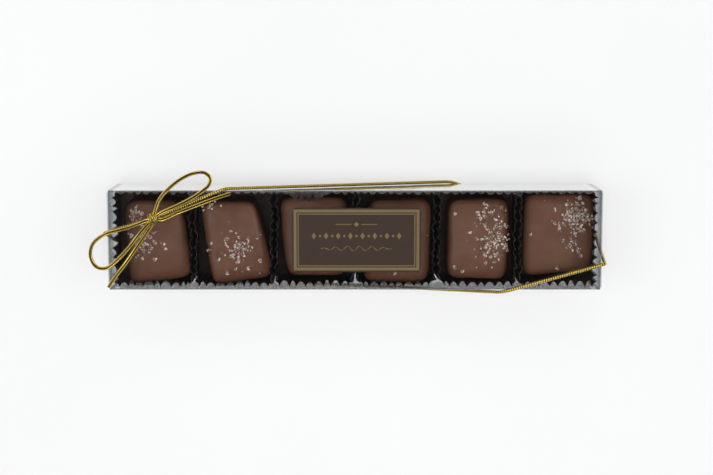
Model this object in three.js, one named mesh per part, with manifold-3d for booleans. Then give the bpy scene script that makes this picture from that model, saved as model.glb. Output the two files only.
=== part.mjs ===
// A shut gift pack of six salted caramels: a long clear folding box, six chocolate-dipped
// caramels with salt on top, each in a dark fluted paper cup, a blank label on the lid, and a
// gold elastic band tied over two corners with a bow.
//
// Millimetres, +Z up, +X along the pack. The origin is under the middle of the pack, on the
// surface it stands on. The band passes under the box, so the box stands a band's thickness up.

import * as THREE from 'three';
import { ParametricGeometry } from 'three/addons/geometries/ParametricGeometry.js';
import { mergeVertices } from 'three/addons/utils/BufferGeometryUtils.js';
import Module from 'manifold-3d';

// Clear folding box, with tuck-in ends
const BOX_LENGTH = 195.5;
const BOX_WIDTH = 39.5;
const BOX_HEIGHT = 29;
const SHEET = 0.4; // wall thickness
const TUCK_GAP = 0.3; // slit round a flap that is tucked in, not glued
const TONGUE_REACH = 12; // how far an end wall's tongue goes in under the lid
const DUST_FLAP_REACH = 13.5; // how far a side flap folds in behind the end wall
const DUST_FLAP_TAPER = 3; // how much lower a side flap's free edge is

// Elastic band and its bow
const BAND_DIAMETER = 1.6;
const BAND_GAP = 0.1; // between the band and the box faces
const BAND_SIDES = 8;
const BEND_STEPS = 3; // segments round each box edge

const BASE_Z = BAND_DIAMETER + BAND_GAP;
const LID_Z = BASE_Z + BOX_HEIGHT;
const BAND_OFFSET = BAND_DIAMETER / 2 + BAND_GAP;

// Where the band's closed loop crosses the box's edges, in millimetres along each edge
const CROSS_LEFT_TOP_Y = 3.0;
const CROSS_BACK_TOP_X = -51.3;
const CROSS_BACK_BOTTOM_X = 39.5;
const CROSS_RIGHT_BOTTOM_Y = 0.5;
const CROSS_RIGHT_TOP_Y = -9.3;
const CROSS_FRONT_TOP_X = 58.5;
const CROSS_FRONT_BOTTOM_X = -38;
const CROSS_LEFT_BOTTOM_Y = -4;

const KNOT_X = -79.2;
const KNOT_Y = 9.0;
const KNOT_HALF = { along: 2.7, across: 2.5, up: 2.15 };
const KNOT_BAND_GAP = 0.3; // the knot is arched over the band with this clearance

// Paper cups
const CUP_EDGES_X = [-96.5, -64.3, -32.1, 0.1, 32.4, 64.6, 96.5]; // cell limits along the box
const CUP_HEIGHT = 25;
const CUP_FLUTES = 34;
const CUP_PAPER = 0.3;
const CUP_SIDE_GAP = 0.35; // from a flute's tip to its cell's limit
const CUP_FOOT_INSET = 0.9; // how much narrower the cup is at its foot, on each side
const CUP_CORNER = 7; // plan corner radius at the rim
const FLUTE_DEPTH_FOOT = 0.6;
const FLUTE_DEPTH_RIM = 2.2;
const CUP_CLEARANCE = 0.1; // between the box's base and the cup

// Caramels: plan half sizes, turn in degrees, and the salt on top as clusters, each with its
// middle and spread from the caramel's middle and how many large crystals it has
const CARAMEL_HEIGHT = 19.5;
const CARAMEL_CLEARANCE = 0.2; // between the cup's floor and the caramel
const CARAMEL_SQUARENESS = 4.5; // exponent of the plan's rounded rectangle
const CARAMEL_SHOULDER = 3.6; // exponent of the side profile
const CARAMEL_DRAFT = 0.1; // how much narrower the top is than the foot
const CARAMELS = [
  {
    x: -79.9, y: -1.3, halfWidth: 12.4, halfLength: 15.2, turn: 0,
    salt: [{ x: -4.6, y: 3, spreadX: 3.4, spreadY: 5.5, count: 13 }, { x: 1, y: -1, spreadX: 2.5, spreadY: 3, count: 4 }],
  },
  {
    x: -47.3, y: -1.5, halfWidth: 11.1, halfLength: 14.5, turn: 12,
    salt: [{ x: 0, y: -2.8, spreadX: 5, spreadY: 4.5, count: 15 }, { x: -6, y: 11.6, spreadX: 2.5, spreadY: 0.8, count: 3 }],
  },
  {
    x: -16.6, y: -0.5, halfWidth: 12.8, halfLength: 14.7, turn: 0,
    salt: [{ x: 1, y: 0, spreadX: 4.5, spreadY: 5, count: 8 }],
  },
  {
    x: 16.6, y: -1.4, halfWidth: 12.8, halfLength: 15.2, turn: 0,
    salt: [{ x: -1, y: 1, spreadX: 4.5, spreadY: 5, count: 8 }],
  },
  {
    x: 49.0, y: -1.3, halfWidth: 11.4, halfLength: 15.0, turn: 0,
    salt: [{ x: 5, y: -1.8, spreadX: 2.4, spreadY: 6, count: 11 }, { x: 2.5, y: 10.5, spreadX: 3.5, spreadY: 1.5, count: 5 }],
  },
  {
    x: 81.6, y: 0.8, halfWidth: 12.6, halfLength: 14.9, turn: 0,
    salt: [{ x: 4.8, y: 4.5, spreadX: 3.6, spreadY: 4.5, count: 13 }, { x: 1, y: -5, spreadX: 4, spreadY: 4, count: 4 }],
  },
];
const SALT_SMALLEST = 0.9;
const SALT_LARGEST = 1.7;

// Label
const LABEL_LENGTH = 50.8;
const LABEL_WIDTH = 25.4;
const LABEL_THICKNESS = 0.2;
const LABEL_GAP = 0.05;
const LABEL_X = 0.6;
const LABEL_Y = 0.2;

// Bow: each strand is a route of x, y and the height of its middle over the lid
const BOW_STRANDS = {
  bow_loop_right: [
    [-78.2, 12.2, 2.7], [-76.2, 16.8, 3.6], [-71.3, 22.1, 4.2], [-66.6, 25.4, 4.0],
    [-62.2, 27.1, 3.4], [-58.7, 27.1, 2.9], [-56.5, 25.1, 2.6], [-57.1, 22.2, 2.6],
    [-60.0, 19.6, 2.8], [-63.4, 17.3, 3.0], [-69.2, 14.3, 3.1], [-76.1, 11.2, 2.9],
  ],
  bow_loop_left: [
    [-82.3, 8.0, 3.0], [-90.0, 5.2, 2.7], [-98.0, 2.8, 2.8], [-102.6, -0.6, 2.7],
    [-104.0, -5.3, 2.3], [-102.0, -10.0, 2.0], [-98.3, -10.8, 2.1], [-93.9, -7.9, 2.4],
    [-88.9, -2.6, 2.8], [-84.9, 2.6, 2.9], [-81.4, 6.6, 2.3],
  ],
  bow_tail_left: [
    [-80.0, 6.0, 1.0], [-81.6, 3.7, 0.95], [-85.9, -2.4, 0.95], [-90.3, -8.8, 0.95],
    [-94.4, -14.2, 0.95], [-97.3, -18.5, 0.95],
  ],
  bow_tail_right: [
    [-75.8, 8.5, 1.5], [-69.5, 11.2, 1.95], [-62.3, 14.0, 1.95], [-55.5, 16.6, 1.9],
    [-48.9, 18.8, 1.7],
  ],
};
const BOW_STEPS_PER_MM = 0.5;

// Materials, as the photographed pack looks
const finish = (color, roughness, metalness = 0) =>
  new THREE.MeshStandardMaterial({ color, roughness, metalness });
const CHOCOLATE = finish(0x694b3e, 0.45);
const PAPER = finish(0x2a211f, 0.5);
const GOLD = finish(0x8e732c, 0.35, 0.8);
const LABEL_CARD = finish(0x3e332f, 0.6);
const CLEAR_FILM = finish(0xdfe3e4, 0.1);
CLEAR_FILM.transparent = true;
CLEAR_FILM.opacity = 0.3;

const wasm = await Module();
wasm.setup();

const group = new THREE.Group();

function addPiece(name, geometry, material) {
  const piece = new THREE.Mesh(geometry, material);
  piece.name = name;
  group.add(piece);
  return piece;
}

// Closed geometry with its seams merged, its collapsed triangles dropped and its faces outwards.
function closed(geometry) {
  geometry.deleteAttribute('normal');
  geometry.deleteAttribute('uv');
  const merged = mergeVertices(geometry, 1e-4);
  const corners = merged.index.array;
  const kept = [];
  for (let i = 0; i < corners.length; i += 3) {
    const [a, b, c] = [corners[i], corners[i + 1], corners[i + 2]];
    if (a !== b && b !== c && c !== a) kept.push(a, b, c);
  }
  merged.setIndex(signedVolume(merged, kept) < 0 ? kept.reverse() : kept);
  return merged;
}

function signedVolume(geometry, corners) {
  const place = geometry.getAttribute('position');
  const [a, b, c] = [new THREE.Vector3(), new THREE.Vector3(), new THREE.Vector3()];
  let volume = 0;
  for (let i = 0; i < corners.length; i += 3) {
    a.fromBufferAttribute(place, corners[i]);
    b.fromBufferAttribute(place, corners[i + 1]);
    c.fromBufferAttribute(place, corners[i + 2]);
    volume += a.dot(b.cross(c)) / 6;
  }
  return volume;
}

function toSolid(geometry) {
  const merged = closed(geometry);
  return new wasm.Manifold(new wasm.Mesh({
    numProp: 3,
    vertProperties: new Float32Array(merged.getAttribute('position').array),
    triVerts: new Uint32Array(merged.index.array),
  }));
}

function toGeometry(solid) {
  const mesh = solid.getMesh();
  const geometry = new THREE.BufferGeometry();
  geometry.setAttribute('position', new THREE.BufferAttribute(new Float32Array(mesh.vertProperties), 3));
  geometry.setIndex([...mesh.triVerts]);
  return geometry;
}

// Same draw of numbers each time, from 0 to 1.
function seededDraw(seed) {
  let state = seed;
  return () => {
    state = (state + 0x6d2b79f5) | 0;
    let mixed = Math.imul(state ^ (state >>> 15), 1 | state);
    mixed = (mixed + Math.imul(mixed ^ (mixed >>> 7), 61 | mixed)) ^ mixed;
    return ((mixed ^ (mixed >>> 14)) >>> 0) / 4294967296;
  };
}

function block([x0, x1], [y0, y1], [z0, z1]) {
  const box = new THREE.BoxGeometry(x1 - x0, y1 - y0, z1 - z0);
  box.translate((x0 + x1) / 2, (y0 + y1) / 2, (z0 + z1) / 2);
  return toSolid(box);
}

// Clear box: a sleeve of base, lid and long walls, closed at each end by a wall that stands up
// from the base and whose tongue slides in under the lid. Behind each end wall lie two side
// flaps, folded in from the long walls. The slits round the tucked flaps leave it open.
function clearBox() {
  const halfLength = BOX_LENGTH / 2;
  const halfWidth = BOX_WIDTH / 2;
  const sleeveEnd = halfLength - SHEET - TUCK_GAP;
  const across = [-halfWidth, halfWidth];
  const inside = [-halfWidth + SHEET, halfWidth - SHEET];
  let solid = block([-sleeveEnd, sleeveEnd], across, [BASE_Z, LID_Z])
    .subtract(block([-halfLength, halfLength], inside, [BASE_Z + SHEET, LID_Z - SHEET]))
    .add(block([-halfLength, halfLength], across, [BASE_Z, BASE_Z + SHEET]));
  const tongueTop = LID_Z - SHEET - TUCK_GAP;
  const tongueSpan = [inside[0] + TUCK_GAP, inside[1] - TUCK_GAP];
  for (const end of [-1, 1]) {
    const span = (inner, outer) => [Math.min(end * inner, end * outer), Math.max(end * inner, end * outer)];
    solid = solid
      .add(block(span(halfLength - SHEET, halfLength), across, [BASE_Z, tongueTop]))
      .add(block(span(halfLength - TONGUE_REACH, halfLength), tongueSpan, [tongueTop - SHEET, tongueTop]));
    for (const side of [-1, 1]) solid = solid.add(dustFlap(end, side, sleeveEnd, halfWidth));
  }
  return toGeometry(solid);
}

function dustFlap(end, side, sleeveEnd, halfWidth) {
  const top = LID_Z - 2 * SHEET - 2 * TUCK_GAP;
  const outline = new THREE.Shape([
    new THREE.Vector2(0, BASE_Z + SHEET + TUCK_GAP),
    new THREE.Vector2(DUST_FLAP_REACH, BASE_Z + SHEET + TUCK_GAP + DUST_FLAP_TAPER),
    new THREE.Vector2(DUST_FLAP_REACH, top - DUST_FLAP_TAPER),
    new THREE.Vector2(0, top),
  ]);
  const flap = new THREE.ExtrudeGeometry(outline, { depth: SHEET, bevelEnabled: false });
  const inner = end > 0 ? sleeveEnd - SHEET : -sleeveEnd;
  const place = flap.getAttribute('position');
  for (let i = 0; i < place.count; i++) {
    const [reach, height, depth] = [place.getX(i), place.getY(i), place.getZ(i)];
    place.setXYZ(i, inner + depth, side * (halfWidth - reach), height);
  }
  return toSolid(flap);
}

// Distance to a rounded square's edge along an angle, for half size 1.
function squareReach(angle, exponent) {
  return (Math.abs(Math.cos(angle)) ** exponent + Math.abs(Math.sin(angle)) ** exponent) ** (-1 / exponent);
}

// Caramel: a rounded block whose plan and side profile are both superellipses, a little
// narrower at the top, with slow waves round its sides as dipped chocolate has.
const cupFloorZ = BASE_Z + SHEET + CUP_CLEARANCE + CUP_PAPER;
const caramelMiddleZ = cupFloorZ + CARAMEL_CLEARANCE + CARAMEL_HEIGHT / 2;

function caramelSurface(caramel, index) {
  return (u, v, target) => {
    const round = u * 2 * Math.PI;
    const rise = (v - 0.5) * Math.PI;
    const height = Math.sin(rise) * squareReach(rise, CARAMEL_SHOULDER);
    const wave = 1 + 0.012 * Math.sin(2 * round + index) + 0.01 * Math.sin(3 * round + 2 * index);
    const width = Math.max(Math.cos(rise), 0) * squareReach(rise, CARAMEL_SHOULDER)
      * wave * (1 - CARAMEL_DRAFT * (height + 1) / 2);
    target.set(
      caramel.halfWidth * Math.cos(round) * squareReach(round, CARAMEL_SQUARENESS) * width,
      caramel.halfLength * Math.sin(round) * squareReach(round, CARAMEL_SQUARENESS) * width,
      caramelMiddleZ + height * CARAMEL_HEIGHT / 2,
    );
  };
}

function caramelTop(caramel, x, y) {
  const top = 1 - CARAMEL_DRAFT;
  const out = (Math.abs(x / caramel.halfWidth / top) ** CARAMEL_SQUARENESS
    + Math.abs(y / caramel.halfLength / top) ** CARAMEL_SQUARENESS) ** (1 / CARAMEL_SQUARENESS);
  const height = Math.max(1 - Math.min(out, 1) ** CARAMEL_SHOULDER, 0) ** (1 / CARAMEL_SHOULDER);
  return caramelMiddleZ + height * CARAMEL_HEIGHT / 2;
}

// Salted caramel: the large salt crystals are small tumbled blocks sunk a little in the top.
function saltedCaramel(caramel, index) {
  const draw = seededDraw(100 + index);
  const bell = () => draw() + draw() + draw() - 1.5;
  let solid = toSolid(new ParametricGeometry(caramelSurface(caramel, index), 24, 10));
  for (const cluster of caramel.salt) {
    for (let i = 0; i < cluster.count; i++) {
      const size = SALT_SMALLEST + (SALT_LARGEST - SALT_SMALLEST) * draw() ** 2;
      const x = cluster.x + 1.6 * cluster.spreadX * bell();
      const y = cluster.y + 1.6 * cluster.spreadY * bell();
      const crystal = new THREE.BoxGeometry(size, size * (0.6 + 0.4 * draw()), size * (0.5 + 0.4 * draw()));
      crystal.rotateX(0.9 * draw());
      crystal.rotateY(0.9 * draw());
      crystal.rotateZ(Math.PI * draw());
      crystal.translate(x, y, caramelTop(caramel, x, y) - 0.05 * size);
      solid = solid.add(toSolid(crystal));
    }
  }
  const [largest] = solid.decompose().sort((a, b) => b.volume() - a.volume());
  const geometry = toGeometry(largest);
  geometry.rotateZ(THREE.MathUtils.degToRad(caramel.turn));
  geometry.translate(caramel.x, caramel.y, 0);
  return geometry;
}

// Outline of a rounded rectangle at equal steps, with the outward direction at each point.
function roundedOutline(halfWidth, halfLength, corner, count) {
  const shape = new THREE.Shape();
  const [x, y, r] = [halfWidth, halfLength, corner];
  shape.moveTo(x, 0).lineTo(x, y - r).absarc(x - r, y - r, r, 0, Math.PI / 2);
  shape.lineTo(-x + r, y).absarc(-x + r, y - r, r, Math.PI / 2, Math.PI);
  shape.lineTo(-x, -y + r).absarc(-x + r, -y + r, r, Math.PI, 1.5 * Math.PI);
  shape.lineTo(x - r, -y).absarc(x - r, -y + r, r, 1.5 * Math.PI, 2 * Math.PI);
  shape.lineTo(x, 0);
  const points = shape.getSpacedPoints(count).slice(0, count);
  return points.map((point, i) => {
    const along = points[(i + 1) % count].clone().sub(points[(i + count - 1) % count]).normalize();
    return { point, outward: new THREE.Vector2(along.y, -along.x) };
  });
}

// Paper cup: a pleated wall between a foot and a wider rim. Every second column is a flute's
// tip, the others lie deeper by the flute depth, which grows towards the rim.
function paperCup(left, right) {
  const columns = 2 * CUP_FLUTES;
  const halfWidth = (right - left) / 2 - CUP_SIDE_GAP;
  const halfLength = BOX_WIDTH / 2 - SHEET - CUP_SIDE_GAP;
  const foot = roundedOutline(halfWidth - CUP_FOOT_INSET / 2, halfLength - CUP_FOOT_INSET, CUP_CORNER - 1, columns);
  const rim = roundedOutline(halfWidth, halfLength, CUP_CORNER, columns);
  const footZ = BASE_Z + SHEET + CUP_CLEARANCE;
  const rows = [
    { outline: foot, z: footZ, depth: FLUTE_DEPTH_FOOT, inset: 0, shrink: 0 },
    { outline: foot, z: footZ, depth: FLUTE_DEPTH_FOOT, inset: 0, shrink: 1 },
    { outline: rim, z: footZ + CUP_HEIGHT, depth: FLUTE_DEPTH_RIM, inset: 0, shrink: 1 },
    { outline: rim, z: footZ + CUP_HEIGHT, depth: FLUTE_DEPTH_RIM, inset: CUP_PAPER, shrink: 1 },
    { outline: foot, z: footZ + CUP_PAPER, depth: FLUTE_DEPTH_FOOT, inset: CUP_PAPER, shrink: 1 },
    { outline: foot, z: footZ + CUP_PAPER, depth: FLUTE_DEPTH_FOOT, inset: CUP_PAPER, shrink: 0 },
  ];
  const surface = (u, v, target) => {
    const column = Math.round(u * columns) % columns;
    const row = rows[Math.round(v * (rows.length - 1))];
    const { point, outward } = row.outline[column];
    const inwards = row.inset + (column % 2 ? row.depth : 0);
    target.set(
      row.shrink * (point.x - outward.x * inwards),
      row.shrink * (point.y - outward.y * inwards),
      row.z,
    );
  };
  const geometry = closed(new ParametricGeometry(surface, columns, rows.length - 1));
  geometry.translate((left + right) / 2, 0, 0);
  return geometry;
}

// Elastic band: one closed loop that lies straight on each face and turns over each edge. At an
// edge its middle winds round on a screw line, whose pitch keeps the slope of the band there.
// The bow pulls it a little out of line at the knot.
const FACES = {
  left: new THREE.Vector3(-1, 0, 0), right: new THREE.Vector3(1, 0, 0),
  front: new THREE.Vector3(0, -1, 0), back: new THREE.Vector3(0, 1, 0),
  bottom: new THREE.Vector3(0, 0, -1), top: new THREE.Vector3(0, 0, 1),
};
const BAND_CROSSINGS = [
  { from: 'left', to: 'top', at: [-BOX_LENGTH / 2, CROSS_LEFT_TOP_Y, LID_Z] },
  { from: 'top', to: 'top', at: [KNOT_X, KNOT_Y, LID_Z] },
  { from: 'top', to: 'back', at: [CROSS_BACK_TOP_X, BOX_WIDTH / 2, LID_Z] },
  { from: 'back', to: 'bottom', at: [CROSS_BACK_BOTTOM_X, BOX_WIDTH / 2, BASE_Z] },
  { from: 'bottom', to: 'right', at: [BOX_LENGTH / 2, CROSS_RIGHT_BOTTOM_Y, BASE_Z] },
  { from: 'right', to: 'top', at: [BOX_LENGTH / 2, CROSS_RIGHT_TOP_Y, LID_Z] },
  { from: 'top', to: 'front', at: [CROSS_FRONT_TOP_X, -BOX_WIDTH / 2, LID_Z] },
  { from: 'front', to: 'bottom', at: [CROSS_FRONT_BOTTOM_X, -BOX_WIDTH / 2, BASE_Z] },
  { from: 'bottom', to: 'left', at: [-BOX_LENGTH / 2, CROSS_LEFT_BOTTOM_Y, BASE_Z] },
];

function bandStations() {
  const edges = BAND_CROSSINGS.map(({ from, to, at }) => ({
    from: FACES[from], to: FACES[to], at: new THREE.Vector3(...at),
  }));
  const stations = [];
  edges.forEach((edge, i) => {
    const before = edges[(i + edges.length - 1) % edges.length];
    const after = edges[(i + 1) % edges.length];
    if (edge.from === edge.to) {
      const ahead = after.at.clone().sub(before.at).normalize();
      stations.push({
        middle: edge.at.clone().addScaledVector(edge.to, BAND_OFFSET),
        outward: edge.to,
        sideways: new THREE.Vector3().crossVectors(ahead, edge.to).normalize(),
      });
      return;
    }
    const edgeLine = new THREE.Vector3().crossVectors(edge.from, edge.to);
    const slopeIn = edge.at.clone().sub(before.at).normalize().dot(edgeLine);
    const slopeOut = after.at.clone().sub(edge.at).normalize().dot(edgeLine);
    for (let step = 0; step <= BEND_STEPS; step++) {
      const turn = (step / BEND_STEPS) * Math.PI / 2;
      const outward = edge.from.clone().multiplyScalar(Math.cos(turn)).addScaledVector(edge.to, Math.sin(turn));
      const slope = THREE.MathUtils.lerp(slopeIn, slopeOut, step / BEND_STEPS);
      const acrossEdge = Math.sqrt(1 - slope * slope);
      const ahead = edge.to.clone().multiplyScalar(Math.cos(turn)).addScaledVector(edge.from, -Math.sin(turn))
        .multiplyScalar(acrossEdge).addScaledVector(edgeLine, slope);
      const alongEdge = (turn - Math.PI / 4) * BAND_OFFSET * slope / acrossEdge;
      stations.push({
        middle: edge.at.clone().addScaledVector(outward, BAND_OFFSET).addScaledVector(edgeLine, alongEdge),
        outward,
        sideways: new THREE.Vector3().crossVectors(ahead, outward).normalize(),
      });
    }
  });
  return stations;
}

const stations = bandStations();

function elasticBand() {
  const surface = (u, v, target) => {
    const angle = u * 2 * Math.PI;
    const station = stations[Math.round(v * stations.length) % stations.length];
    target.copy(station.middle)
      .addScaledVector(station.outward, Math.cos(angle) * BAND_DIAMETER / 2)
      .addScaledVector(station.sideways, Math.sin(angle) * BAND_DIAMETER / 2);
  };
  return closed(new ParametricGeometry(surface, BAND_SIDES, stations.length));
}

// Bow knot: a lump of two wraps round the band, arched over it, where the bow pulls it aside.
const bandAtKnot = stations[BEND_STEPS + 1].middle;
const bandDirection = stations[BEND_STEPS + 2].middle.clone().sub(stations[BEND_STEPS].middle).normalize();

function bowKnot() {
  const surface = (u, v, target) => {
    const round = u * 2 * Math.PI;
    const rise = (v - 0.5) * Math.PI;
    const wraps = 1 + 0.07 * Math.cos(2 * round) * Math.cos(rise);
    target.set(
      KNOT_HALF.along * Math.cos(round) * Math.cos(rise) * wraps,
      KNOT_HALF.across * Math.sin(round) * Math.cos(rise) * wraps,
      KNOT_HALF.up * Math.sin(rise) * squareReach(rise, 2.6),
    );
  };
  const lump = new ParametricGeometry(surface, 16, 8);
  lump.rotateZ(Math.atan2(bandDirection.y, bandDirection.x));
  lump.translate(bandAtKnot.x, bandAtKnot.y, LID_Z + BAND_GAP + KNOT_HALF.up);
  const channelLength = 4 * KNOT_HALF.along;
  const channel = new THREE.CylinderGeometry(
    BAND_DIAMETER / 2 + KNOT_BAND_GAP, BAND_DIAMETER / 2 + KNOT_BAND_GAP, channelLength, 12,
  );
  channel.applyQuaternion(new THREE.Quaternion().setFromUnitVectors(new THREE.Vector3(0, 1, 0), bandDirection));
  channel.translate(bandAtKnot.x, bandAtKnot.y, bandAtKnot.z);
  return toGeometry(toSolid(lump).subtract(toSolid(channel)));
}

function bowStrand(route) {
  const path = new THREE.CatmullRomCurve3(
    route.map(([x, y, height]) => new THREE.Vector3(x, y, LID_Z + height)), false, 'centripetal',
  );
  const section = new THREE.Shape();
  for (let i = 0; i < BAND_SIDES; i++) {
    const angle = (i / BAND_SIDES) * 2 * Math.PI;
    const [x, y] = [Math.cos(angle) * BAND_DIAMETER / 2, Math.sin(angle) * BAND_DIAMETER / 2];
    if (i) section.lineTo(x, y);
    else section.moveTo(x, y);
  }
  const steps = Math.round(path.getLength() * BOW_STEPS_PER_MM);
  return closed(new THREE.ExtrudeGeometry(section, { steps, bevelEnabled: false, extrudePath: path }));
}

addPiece('clear_box', clearBox(), CLEAR_FILM);
CARAMELS.forEach((caramel, i) => {
  addPiece(`caramel_${i + 1}`, saltedCaramel(caramel, i), CHOCOLATE);
  addPiece(`cup_${i + 1}`, paperCup(CUP_EDGES_X[i], CUP_EDGES_X[i + 1]), PAPER);
});

const label = addPiece('label', closed(new THREE.BoxGeometry(LABEL_LENGTH, LABEL_WIDTH, LABEL_THICKNESS)), LABEL_CARD);
label.position.set(LABEL_X, LABEL_Y, LID_Z + LABEL_GAP + LABEL_THICKNESS / 2);

addPiece('elastic_band', elasticBand(), GOLD);
addPiece('bow_knot', bowKnot(), GOLD);
for (const [name, route] of Object.entries(BOW_STRANDS)) addPiece(name, bowStrand(route), GOLD);

export default group;
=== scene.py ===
"""A shut gift pack of six salted caramels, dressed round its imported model.

A clear folding box holds six chocolate-dipped caramels with coarse salt, each in a fluted paper
cup. A foil-framed label lies on the lid, and a gold elastic cord ends in a bow over one corner.
Shapes are worked out in millimetres and put into the meshes in metres.
"""

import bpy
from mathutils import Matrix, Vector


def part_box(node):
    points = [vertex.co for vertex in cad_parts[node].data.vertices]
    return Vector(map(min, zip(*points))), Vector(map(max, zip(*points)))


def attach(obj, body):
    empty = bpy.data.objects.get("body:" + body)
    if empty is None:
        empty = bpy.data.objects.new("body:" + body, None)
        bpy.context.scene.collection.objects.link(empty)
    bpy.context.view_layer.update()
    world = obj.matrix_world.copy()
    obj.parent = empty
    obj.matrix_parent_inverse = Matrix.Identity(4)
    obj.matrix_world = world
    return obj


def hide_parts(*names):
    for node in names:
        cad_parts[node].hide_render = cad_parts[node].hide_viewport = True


bl_info = {
    "name": "Salted caramel gift pack",
    "version": (1, 0, 0),
    "blender": (4, 5, 0),
    "location": "3D View > Sidebar > Caramels",
    "description": "Builds a clear box of salted caramels tied with a gold cord",
    "category": "Add Mesh",
}

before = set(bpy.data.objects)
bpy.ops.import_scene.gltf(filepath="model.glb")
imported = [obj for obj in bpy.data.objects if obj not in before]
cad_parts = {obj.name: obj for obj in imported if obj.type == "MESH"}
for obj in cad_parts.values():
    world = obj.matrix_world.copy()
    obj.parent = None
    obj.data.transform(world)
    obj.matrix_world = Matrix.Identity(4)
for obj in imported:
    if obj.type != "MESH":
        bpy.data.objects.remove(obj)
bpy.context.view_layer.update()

import math

import bmesh
import bpy
import numpy as np
from bpy.props import FloatProperty, FloatVectorProperty, IntProperty, PointerProperty

MM = 0.001


def node_box(node):
    """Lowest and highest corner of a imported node, in millimetres."""
    low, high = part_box(node)
    return np.array(low) / MM, np.array(high) / MM


BOX_LOW, BOX_HIGH = node_box("clear_box")
BASE_Z, LID_Z = BOX_LOW[2], BOX_HIGH[2]
HALF_LENGTH, HALF_WIDTH = BOX_HIGH[0], BOX_HIGH[1]
CELLS = range(1, 7)

# The photograph's frame and its camera
PHOTO_WIDTH_PX = 713
PHOTO_FOCAL_PX = 1578
SENSOR_MM = 36.0
CAMERA_PLACE = (0.6, 80.2, 647.5)
CAMERA_TILT = math.radians(7.3)

# The cord's thickness, the distance of its middle from the box, and its closed loop: the two faces
# it passes between at each edge and the place along that edge. From top to top is the bow's knot.
CORD = 1.6
CORD_OFFSET = CORD / 2 + 0.05
FACES = {
    "left": (-1, 0, 0), "right": (1, 0, 0), "front": (0, -1, 0),
    "back": (0, 1, 0), "bottom": (0, 0, -1), "top": (0, 0, 1),
}
CROSSINGS = (
    ("left", "top", 3.0), ("top", "top", 0), ("top", "back", -51.3), ("back", "bottom", 39.5),
    ("bottom", "right", 0.5), ("right", "top", -9.3), ("top", "front", 58.5), ("front", "bottom", -38),
    ("bottom", "left", -4),
)
KNOT = (-79.2, 9.0, LID_Z)

# Distance between the rings of the loop's skin, and of a strand's
BAND_STEP = 0.14
STRAND_STEP = 0.12

# The bow: each strand's route as x, y and the height of its middle over the lid
BOW = {
    "bow_loop_right": [
        (-78.2, 12.2, 2.7), (-76.2, 16.8, 3.6), (-71.3, 22.1, 4.2), (-66.6, 25.4, 4.0),
        (-62.2, 27.1, 3.4), (-58.7, 27.1, 2.9), (-56.5, 25.1, 2.6), (-57.1, 22.2, 2.6),
        (-60.0, 19.6, 2.8), (-63.4, 17.3, 3.0), (-69.2, 14.3, 3.1), (-76.1, 11.2, 2.9),
    ],
    "bow_loop_left": [
        (-82.3, 8.0, 3.0), (-90.0, 5.2, 2.7), (-98.0, 2.8, 2.8), (-102.6, -0.6, 2.7),
        (-104.0, -5.3, 2.3), (-102.0, -10.0, 2.0), (-98.3, -10.8, 2.1), (-93.9, -7.9, 2.4),
        (-88.9, -2.6, 2.8), (-84.9, 2.6, 2.9), (-81.4, 6.6, 2.3),
    ],
    "bow_tail_left": [
        (-80.0, 6.0, 1.0), (-81.6, 3.7, 0.95), (-85.9, -2.4, 0.95), (-90.3, -8.8, 0.95),
        (-94.4, -14.2, 0.95), (-97.3, -18.5, 0.95),
    ],
    "bow_tail_right": [
        (-75.8, 8.5, 1.5), (-69.5, 11.2, 1.95), (-62.3, 14.0, 1.95), (-55.5, 16.6, 1.9),
        (-48.9, 18.8, 1.7),
    ],
}

# The caramels' plans as corners (back left, back right, front right, front left), then their salt:
# clusters as x and y of the middle, spread in x and y and count, and places of single crystals
CARAMELS = (
    dict(corners=((-92.3, 15.0), (-69.0, 15.0), (-64.9, -16.1), (-91.0, -20.3)),
         clusters=((-84.8, 1.0, 3.6, 6.0, 50), (-88.0, 10.5, 2.2, 2.6, 10), (-84.3, -5.0, 2.2, 1.6, 10)),
         single=((-82.0, 0.5), (-80.0, -1.8), (-76.2, -2.4), (-75.4, -4.4), (-85.1, -8.4),
                 (-79.8, -8.3), (-84.3, -5.4), (-87.5, 12.0), (-84.9, 9.5))),
    dict(corners=((-62.4, 14.3), (-39.8, 15.1), (-32.2, -16.2), (-57.4, -20.6)),
         clusters=((-46.2, -4.6, 4.2, 3.6, 60), (-56.5, 12.4, 3.0, 0.8, 14)),
         single=((-51.4, -0.4), (-49.6, 2.9), (-58.4, -4.8), (-54.5, -8.6), (-47.7, -12.1),
                 (-51.4, -14.2), (-38.0, -9.0), (-42.6, 0.0))),
    dict(corners=((-31.1, 16.4), (-2.4, 16.0), (-3.1, -15.9), (-27.6, -16.0)),
         clusters=((-16.5, 0, 4.5, 5, 34),), single=()),
    dict(corners=((5.0, 15.2), (30.9, 15.3), (30.0, -18.9), (2.6, -18.6)),
         clusters=((16.5, -0.5, 4.5, 5, 30),), single=((16.0, -14.2),)),
    dict(corners=((37.0, 15.5), (62.1, 15.6), (61.1, -17.6), (36.8, -17.1)),
         clusters=((55.1, -1.7, 3.4, 6.2, 98), (52.5, 10.9, 3.8, 1.9, 28), (60.0, 1, 1.0, 5, 12)),
         single=((40.3, 9.7), (45.8, 2.1), (48.6, -0.4), (40.2, -12.1), (43.0, -14.0), (51.5, 13.4))),
    dict(corners=((67.5, 17.7), (96.0, 17.7), (95.6, -13.4), (67.0, -16.5)),
         clusters=((88.2, 7.9, 4.4, 4.8, 132), (88.6, -3.0, 2.4, 2.4, 14)),
         single=((79.7, 11.4), (79.6, 5.9), (81.3, 3.6), (70.6, 1.5), (83.2, -1.2), (86.7, -3.7),
                 (90.3, -7.5), (80.9, -12.4))),
)

# A caramel's height, its grid, the lowest row that salt lies on, and how near that has to be
CARAMEL_HEIGHT = 19.5
CARAMEL_ROWS, CARAMEL_COLUMNS = 84, 144
FIRST_SALTED_ROW = 30
SALT_HOLD = 0.8

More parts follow.
